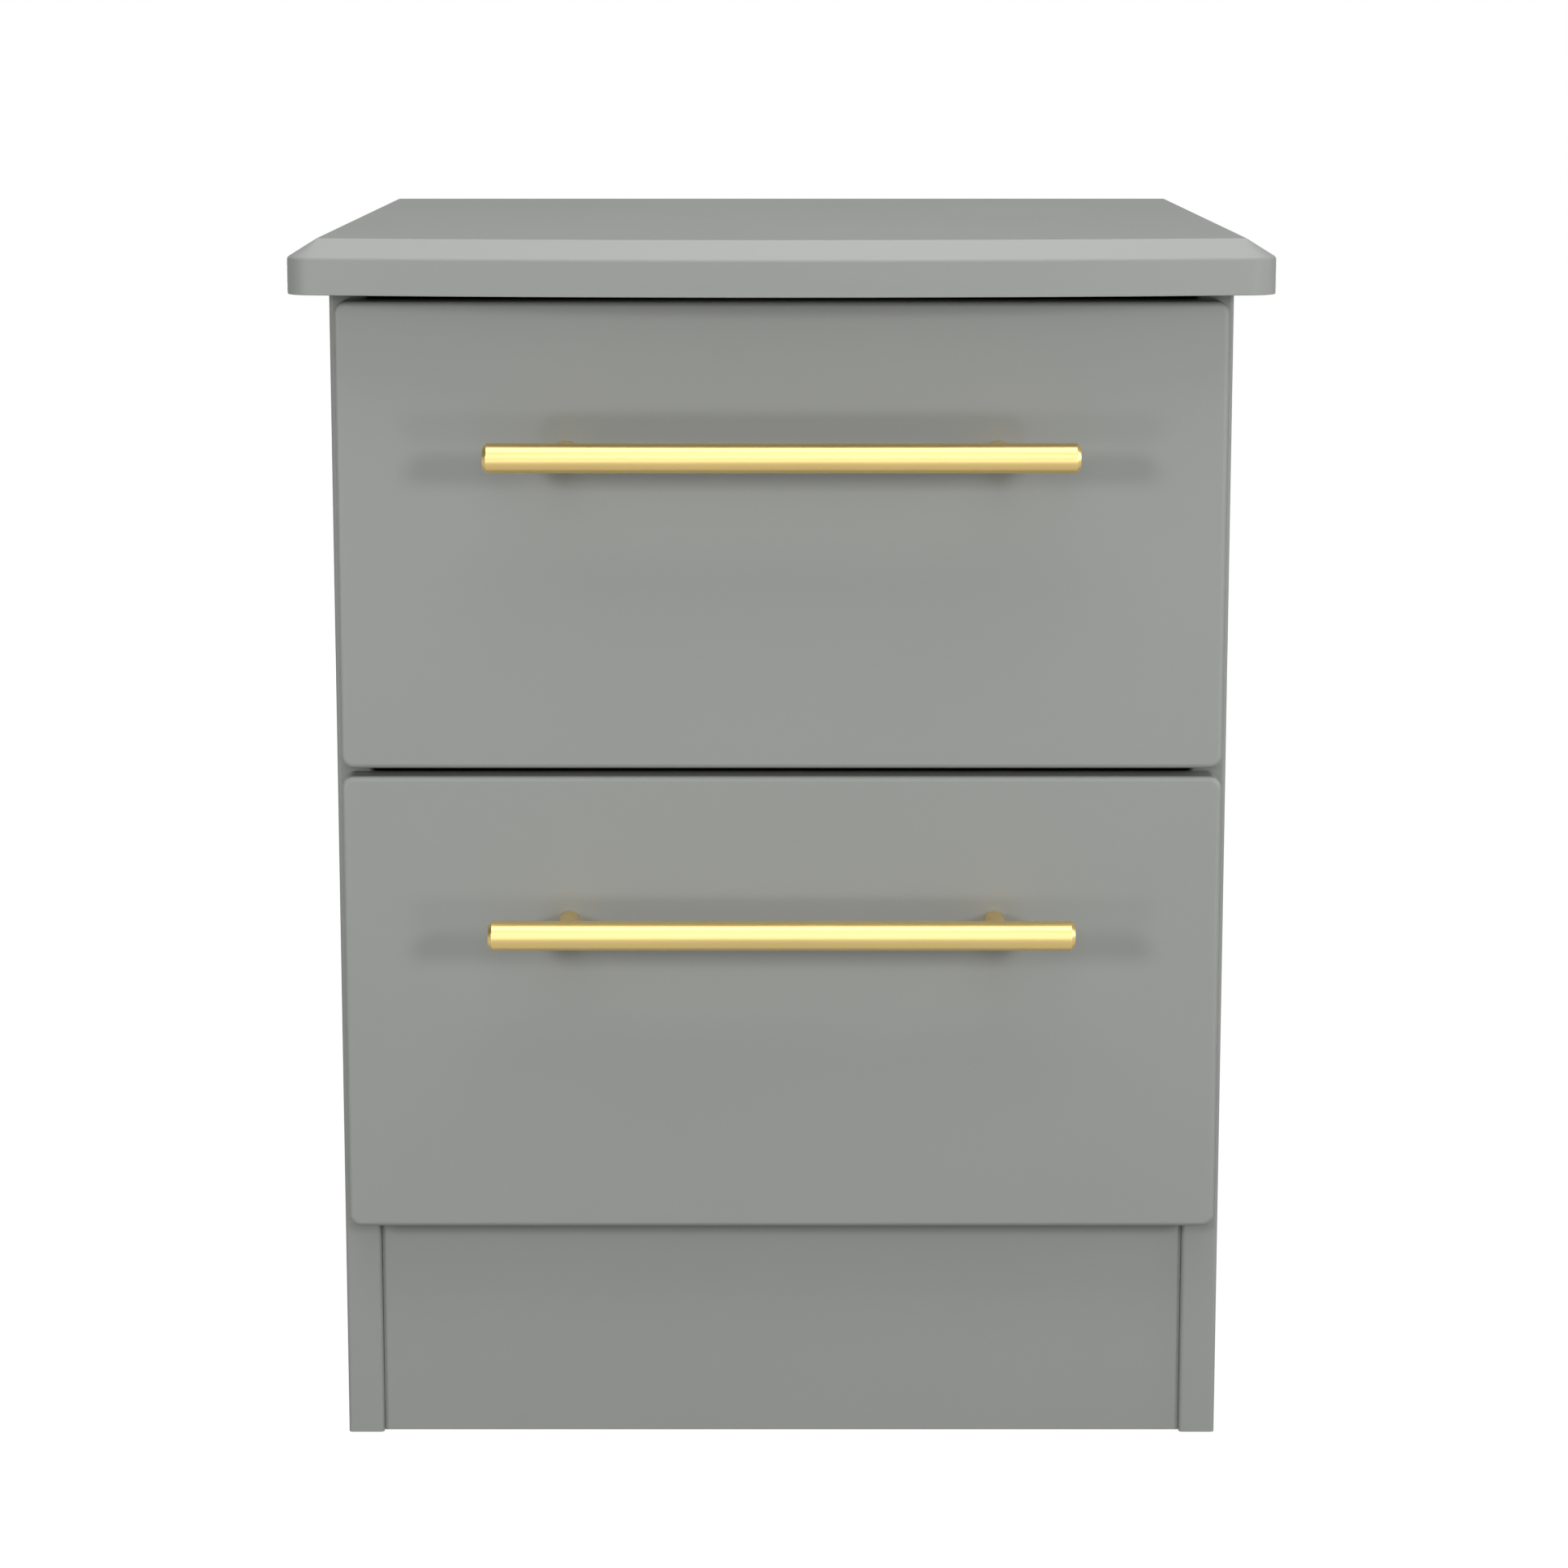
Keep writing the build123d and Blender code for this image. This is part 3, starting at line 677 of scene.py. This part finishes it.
class NIGHTSTAND_OT_drawer_fronts(bpy.types.Operator):
    """Model the drawer fronts with round corners and a rounded face arris"""

    bl_idname = "nightstand.drawer_fronts"
    bl_label = "Drawer Fronts"

    def execute(self, context):
        sizes = context.scene.nightstand_sizes
        finishes = context.scene.nightstand_finishes
        boxes = {level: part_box(f"{level}_drawer_front") for level in LEVELS}
        low, high = boxes["upper"]
        front = add_block("upper_front_board", low, high)
        edit()
        pick(front, "edges", lambda edge: along(edge, 1))
        soften(sizes.front_corner, FRONT_CORNER_STEPS)
        pick(front, "edges", lambda edge: all_at(edge, 1, low.y))
        soften(sizes.front_arris, FRONT_ARRIS_STEPS)
        pick(front, "edges", lambda edge: all_at(edge, 1, high.y))
        soften(sizes.board_arris, BOARD_ARRIS_STEPS)
        done(front)
        for level, piece in repeat(front, boxes, "{}_front_board").items():
            name = f"{level}_front_foil"
            dress(piece, foil_finish(name, finishes.foil, finishes.foil_roughness, *boxes[level]))
            settle(piece, f"{level}_drawer", "grey_board", f"{level}_drawer_front")
        return {"FINISHED"}


class NIGHTSTAND_OT_drawer_boxes(bpy.types.Operator):
    """Model the drawers' sides, backs and bottoms"""

    bl_idname = "nightstand.drawer_boxes"
    bl_label = "Drawer Boxes"

    def execute(self, context):
        sizes = context.scene.nightstand_sizes
        finishes = context.scene.nightstand_finishes
        for level in LEVELS:
            for part in ("left_side", "right_side", "back"):
                node = f"{level}_drawer_{part}"
                piece = copy_node(f"{level}_box_{part}", node)
                soften_board(piece, sizes.board_arris)
                low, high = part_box(node)
                dress(piece, box_foil_finish(f"{piece.name}_foil", finishes.box_foil, low, high))
                settle(piece, f"{level}_drawer", "box_board", node)
            node = f"{level}_drawer_bottom"
            piece = copy_node(f"{level}_box_bottom", node)
            soften_board(piece, sizes.board_arris / 2)
            dress(piece, fibreboard_finish(f"{level}_bottom_fibreboard", finishes.backing))
            settle(piece, f"{level}_drawer", "backing_board", node)
        return {"FINISHED"}


class NIGHTSTAND_OT_handles(bpy.types.Operator):
    """Turn the handle bars and their posts"""

    bl_idname = "nightstand.handles"
    bl_label = "Handles"

    def execute(self, context):
        sizes = context.scene.nightstand_sizes
        finishes = context.scene.nightstand_finishes
        brass = brass_finish("satin_brass", finishes.brass, finishes.brass_roughness)
        self.bars(sizes, brass)
        self.posts(sizes, brass)
        return {"FINISHED"}

    def bars(self, sizes, brass):
        boxes = {level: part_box(f"{level}_handle_bar") for level in LEVELS}
        low, high = boxes["upper"]
        mid = (low + high) / 2
        start, end = Vector((low.x, mid.y, mid.z)), Vector((high.x, mid.y, mid.z))
        bar = add_drum("upper_bar", start, end, (high.z - low.z) / 2, BAR_SIDES)
        edit()
        pick(bar, "edges", lambda edge: all_at(edge, 0, low.x) or all_at(edge, 0, high.x))
        soften(sizes.bar_bevel, 1)
        pick(
            bar,
            "edges",
            lambda edge: not along(edge, 0) and edge.calc_face_angle(0) > BEVEL_RING_ANGLE,
        )
        soften(sizes.bar_bevel / BAR_BEVEL_OVER_ARRIS, BOARD_ARRIS_STEPS)
        done(bar)
        for level, piece in repeat(bar, boxes, "{}_bar").items():
            dress(piece, brass)
            settle(piece, f"{level}_drawer", "brass", f"{level}_handle_bar")

    def posts(self, sizes, brass):
        boxes = {}
        for level in LEVELS:
            low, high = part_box(f"{level}_handle_posts")
            across = Vector((high.z - low.z, 0, 0))
            to_right = Vector((high.x - low.x, 0, 0)) - across
            boxes[f"{level}_left"] = (low, high - to_right)
            boxes[f"{level}_right"] = (low + to_right, high)
        low, high = boxes["upper_left"]
        mid = (low + high) / 2
        start, end = Vector((mid.x, low.y, mid.z)), Vector((mid.x, high.y, mid.z))
        post = add_drum("upper_left_post", start, end, (high.z - low.z) / 2, POST_SIDES)
        edit()
        pick(post, "edges", lambda edge: all_at(edge, 1, high.y))
        soften(sizes.post_arris, POST_ARRIS_STEPS)
        done(post)
        for name, piece in repeat(post, boxes, "{}_post").items():
            level = name.split("_")[0]
            dress(piece, brass)
            settle(piece, f"{level}_drawer", "brass", f"{level}_handle_posts")


class NIGHTSTAND_OT_runners(bpy.types.Operator):
    """Fold the runner members' edges and coat them"""

    bl_idname = "nightstand.runners"
    bl_label = "Drawer Runners"

    def execute(self, context):
        sizes = context.scene.nightstand_sizes
        finishes = context.scene.nightstand_finishes
        coating = coated_steel_finish("runner_coating", finishes.steel_coat)
        for level in LEVELS:
            for hand in HANDS:
                for owner, body in (("cabinet", "cabinet"), ("drawer", f"{level}_drawer")):
                    node = f"{level}_{hand}_{owner}_runner"
                    member = copy_node(f"{node}_steel", node)
                    soften_board(member, sizes.steel_fold)
                    dress(member, coating)
                    settle(member, body, "coated_steel", node)
        return {"FINISHED"}


class NIGHTSTAND_OT_rollers(bpy.types.Operator):
    """Mould one runner roller and set a copy on every pin"""

    bl_idname = "nightstand.rollers"
    bl_label = "Rollers"

    def execute(self, context):
        finishes = context.scene.nightstand_finishes
        plastic = roller_finish("roller_plastic", finishes.roller)
        nodes = [
            f"{level}_{hand}_{owner}_roller"
            for level in LEVELS
            for hand in HANDS
            for owner in ("cabinet", "drawer")
        ]
        boxes = {node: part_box(node) for node in nodes}
        first = copy_node(f"{nodes[0]}_moulding", nodes[0])
        done(first, angle=40.0)
        for node, piece in repeat(first, boxes, "{}_moulding").items():
            dress(piece, plastic)
            settle(piece, node, "roller_plastic", node)
        return {"FINISHED"}


class NIGHTSTAND_OT_fasteners(bpy.types.Operator):
    """Plate the screws, cams and pins, and give the dowels their wood"""

    bl_idname = "nightstand.fasteners"
    bl_label = "Fasteners"

    def execute(self, context):
        finishes = context.scene.nightstand_finishes
        zinc = zinc_finish("bright_zinc", finishes.zinc)
        beech = beech_finish("dowel_beech", finishes.beech)
        for name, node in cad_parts.items():
            if name.endswith("dowels"):
                coat(node, beech)
            elif name.endswith(("screws", "cam_bolts", "cam_locks", "pins")):
                coat(node, zinc)
        return {"FINISHED"}


# --- Stage ---


AIM = Vector((0, -0.2, 0.3))  # about the middle of the drawer fronts
BODY = (0, -0.1, 0.3)  # inside the cabinet, under the top
FLOOR_WIDTH = 60.0
FLOOR_SEEN = 1.06  # how bright the floor looks from the camera
FLOOR_SHEEN = 0.55  # how bright it is in reflections, on foil and brass alike
FLOOR_GLOW = 0.19  # how bright it is as a light on the object
FLOOR_MATT = 0.06  # share of the floor that is plain matt paint, which takes shadows
ROOM_GLOW = 0.08  # how bright the room is as a light and in reflections
LAMP_TURN = 42  # degrees from straight ahead to the small lamps on each hand
CARD_HEIGHT = 0.17
IMAGE_SIDE = 1932
LENS = 101.03
SENSOR_WIDTH = 36.0
SHIFT_ACROSS = 3.0 / IMAGE_SIDE
SHIFT_UP = 29.1 / IMAGE_SIDE
CAMERA_PLACE = (0, -1.948355, 0.591998)
CAMERA_DIP = 10.19  # degrees that the camera looks down


def from_front(distance, azimuth, elevation):
    """A place at a distance from AIM: degrees to the right of straight ahead, and up."""
    across, up = math.radians(azimuth), math.radians(elevation)
    ahead = distance * math.cos(up)
    return (
        ahead * math.sin(across),
        AIM.y - ahead * math.cos(across),
        AIM.z + distance * math.sin(up),
    )


def add_light(name, place, target, size, power):
    """A soft white rectangular light that faces a target: metres wide and high, and watts."""
    data = bpy.data.lights.new(name, "AREA")
    data.shape = "RECTANGLE"
    data.size, data.size_y = size
    data.energy = power
    lamp = bpy.data.objects.new(name, data)
    bpy.context.scene.collection.objects.link(lamp)
    lamp.location = place
    lamp.rotation_euler = (Vector(target) - Vector(place)).to_track_quat("-Z", "Y").to_euler()
    return lamp


class NIGHTSTAND_OT_stage(bpy.types.Operator):
    """Lay a plain pale floor, hang soft studio lights and set the camera"""

    bl_idname = "nightstand.stage"
    bl_label = "Stage"

    def execute(self, context):
        scene = context.scene
        self.floor(scene.nightstand_finishes)
        self.surroundings(scene)
        self.lights()
        self.camera(scene)
        scene.view_settings.view_transform = "Standard"
        return {"FINISHED"}

    def floor(self, finishes):
        """White to the camera, dimmer in reflections, and dimmest as a light from below."""
        deselect()
        bpy.ops.mesh.primitive_plane_add(size=FLOOR_WIDTH, location=(0, 0, 0))
        floor = keep_name("floor")
        sheet = Sheet("pale_floor")
        ray = sheet.add("ShaderNodeLightPath", {}, {}, "Is Camera Ray")
        seen = sheet.add(
            "ShaderNodeEmission", {}, {"Color": tone(finishes.floor), "Strength": FLOOR_SEEN}
        )
        cast = sheet.add(
            "ShaderNodeEmission", {}, {"Color": tone(finishes.floor), "Strength": FLOOR_GLOW}
        )
        gloss = sheet.add("ShaderNodeLightPath", {}, {}, "Is Glossy Ray")
        sheen = sheet.add(
            "ShaderNodeEmission", {}, {"Color": tone(finishes.floor), "Strength": FLOOR_SHEEN}
        )
        matt = sheet.add("ShaderNodeBsdfDiffuse", {}, {"Color": tone(finishes.floor)})
        unseen = sheet.add("ShaderNodeMixShader", {}, {0: gloss, 1: cast, 2: sheen})
        glow = sheet.add("ShaderNodeMixShader", {}, {0: ray, 1: unseen, 2: seen})
        both = sheet.add("ShaderNodeMixShader", {}, {0: FLOOR_MATT, 1: glow, 2: matt})
        sheet.add("ShaderNodeOutputMaterial", {}, {"Surface": both})
        dress(floor, sheet.material)

    def surroundings(self, scene):
        """A room that is white to the camera and dim to everything else."""
        world = bpy.data.worlds.new("pale_room")
        world.use_nodes = True
        tree = world.node_tree
        sky = tree.nodes["Background"]
        sky.inputs["Color"].default_value = (1, 1, 1, 1)
        ray = tree.nodes.new("ShaderNodeLightPath")
        brightness = tree.nodes.new("ShaderNodeMapRange")
        brightness.inputs["To Min"].default_value = ROOM_GLOW
        tree.links.new(ray.outputs["Is Camera Ray"], brightness.inputs["Value"])
        tree.links.new(brightness.outputs["Result"], sky.inputs["Strength"])
        scene.world = world

    def lights(self):
        """Three soft lights ahead, two above, one at each side, one behind and four small lamps.

        The card stands on the floor ahead, and shows only in reflections.
        """
        add_light("front_tall", from_front(2.6, 0, 38), AIM, (1.0, 3.2), 12.0)
        add_light("front_middle", from_front(2.55, 0, 26), AIM, (1.0, 1.5), 2.8)
        add_light("front_lower", from_front(2.5, 0, 13), AIM, (1.0, 1.35), 2.5)
        ahead, at_front = (0, -1.1, CARD_HEIGHT), (0, AIM.y, CARD_HEIGHT)
        card = add_light("gloss_card", ahead, at_front, (1.4, 0.34), 1.35)
        card.visible_diffuse = False
        card.visible_camera = False
        add_light("overhead", (0, -0.1, 2.9), BODY, (3.6, 3.6), 84.0)
        add_light("bevel_glow", (0.12, 0.5, 2.4), (0.05, -0.1, 0.5), (0.7, 1.2), 6.0)
        add_light("left_side", (-2.2, -0.2, 0.9), BODY, (1.2, 1.4), 0.6)
        add_light("right_side", (2.2, -0.3, 0.9), BODY, (1.0, 1.4), 17.0)
        add_light("behind", (0, 2.2, 0.26), (0, 0.2, 0.25), (2.4, 0.44), 15.0)
        for hand, side in HANDS.items():
            high = from_front(2.56, LAMP_TURN * side, 13)
            low = from_front(1.47, LAMP_TURN * side, -7.3)
            add_light(f"{hand}_high_lamp", high, AIM, (0.4, 0.4), 20.0)
            add_light(f"{hand}_low_lamp", low, (0, -0.17, 1.6), (0.2, 0.2), 3.2)

    def camera(self, scene):
        data = bpy.data.cameras.new("camera")
        data.lens = LENS
        data.sensor_width = SENSOR_WIDTH
        data.shift_x = SHIFT_ACROSS
        data.shift_y = SHIFT_UP
        view = bpy.data.objects.new("camera", data)
        scene.collection.objects.link(view)
        view.location = CAMERA_PLACE
        view.rotation_euler = (math.radians(90 - CAMERA_DIP), 0, 0)
        scene.camera = view


class NIGHTSTAND_PT_sidebar(bpy.types.Panel):
    """Sizes, finishes and the buttons that build each piece"""

    bl_idname = "NIGHTSTAND_PT_sidebar"
    bl_label = "Nightstand"
    bl_space_type = "VIEW_3D"
    bl_region_type = "UI"
    bl_category = "Nightstand"

    def draw(self, context):
        layout = self.layout
        for group in (context.scene.nightstand_sizes, context.scene.nightstand_finishes):
            box = layout.box()
            for name in group.__annotations__:
                box.prop(group, name)
        for operator in OPERATORS:
            layout.operator(operator.bl_idname)


OPERATORS = (
    NIGHTSTAND_OT_top_panel,
    NIGHTSTAND_OT_side_panels,
    NIGHTSTAND_OT_inner_boards,
    NIGHTSTAND_OT_drawer_fronts,
    NIGHTSTAND_OT_drawer_boxes,
    NIGHTSTAND_OT_handles,
    NIGHTSTAND_OT_runners,
    NIGHTSTAND_OT_rollers,
    NIGHTSTAND_OT_fasteners,
    NIGHTSTAND_OT_stage,
)
CLASSES = (NightstandSizes, NightstandFinishes, *OPERATORS, NIGHTSTAND_PT_sidebar)


def register():
    for cls in CLASSES:
        bpy.utils.register_class(cls)
    bpy.types.Scene.nightstand_sizes = bpy.props.PointerProperty(type=NightstandSizes)
    bpy.types.Scene.nightstand_finishes = bpy.props.PointerProperty(type=NightstandFinishes)


def unregister():
    del bpy.types.Scene.nightstand_finishes
    del bpy.types.Scene.nightstand_sizes
    for cls in reversed(CLASSES):
        bpy.utils.unregister_class(cls)


def main():
    register()
    for operator in OPERATORS:
        group, name = operator.bl_idname.split(".")
        getattr(getattr(bpy.ops, group), name)()


if __name__ == "__main__":
    main()
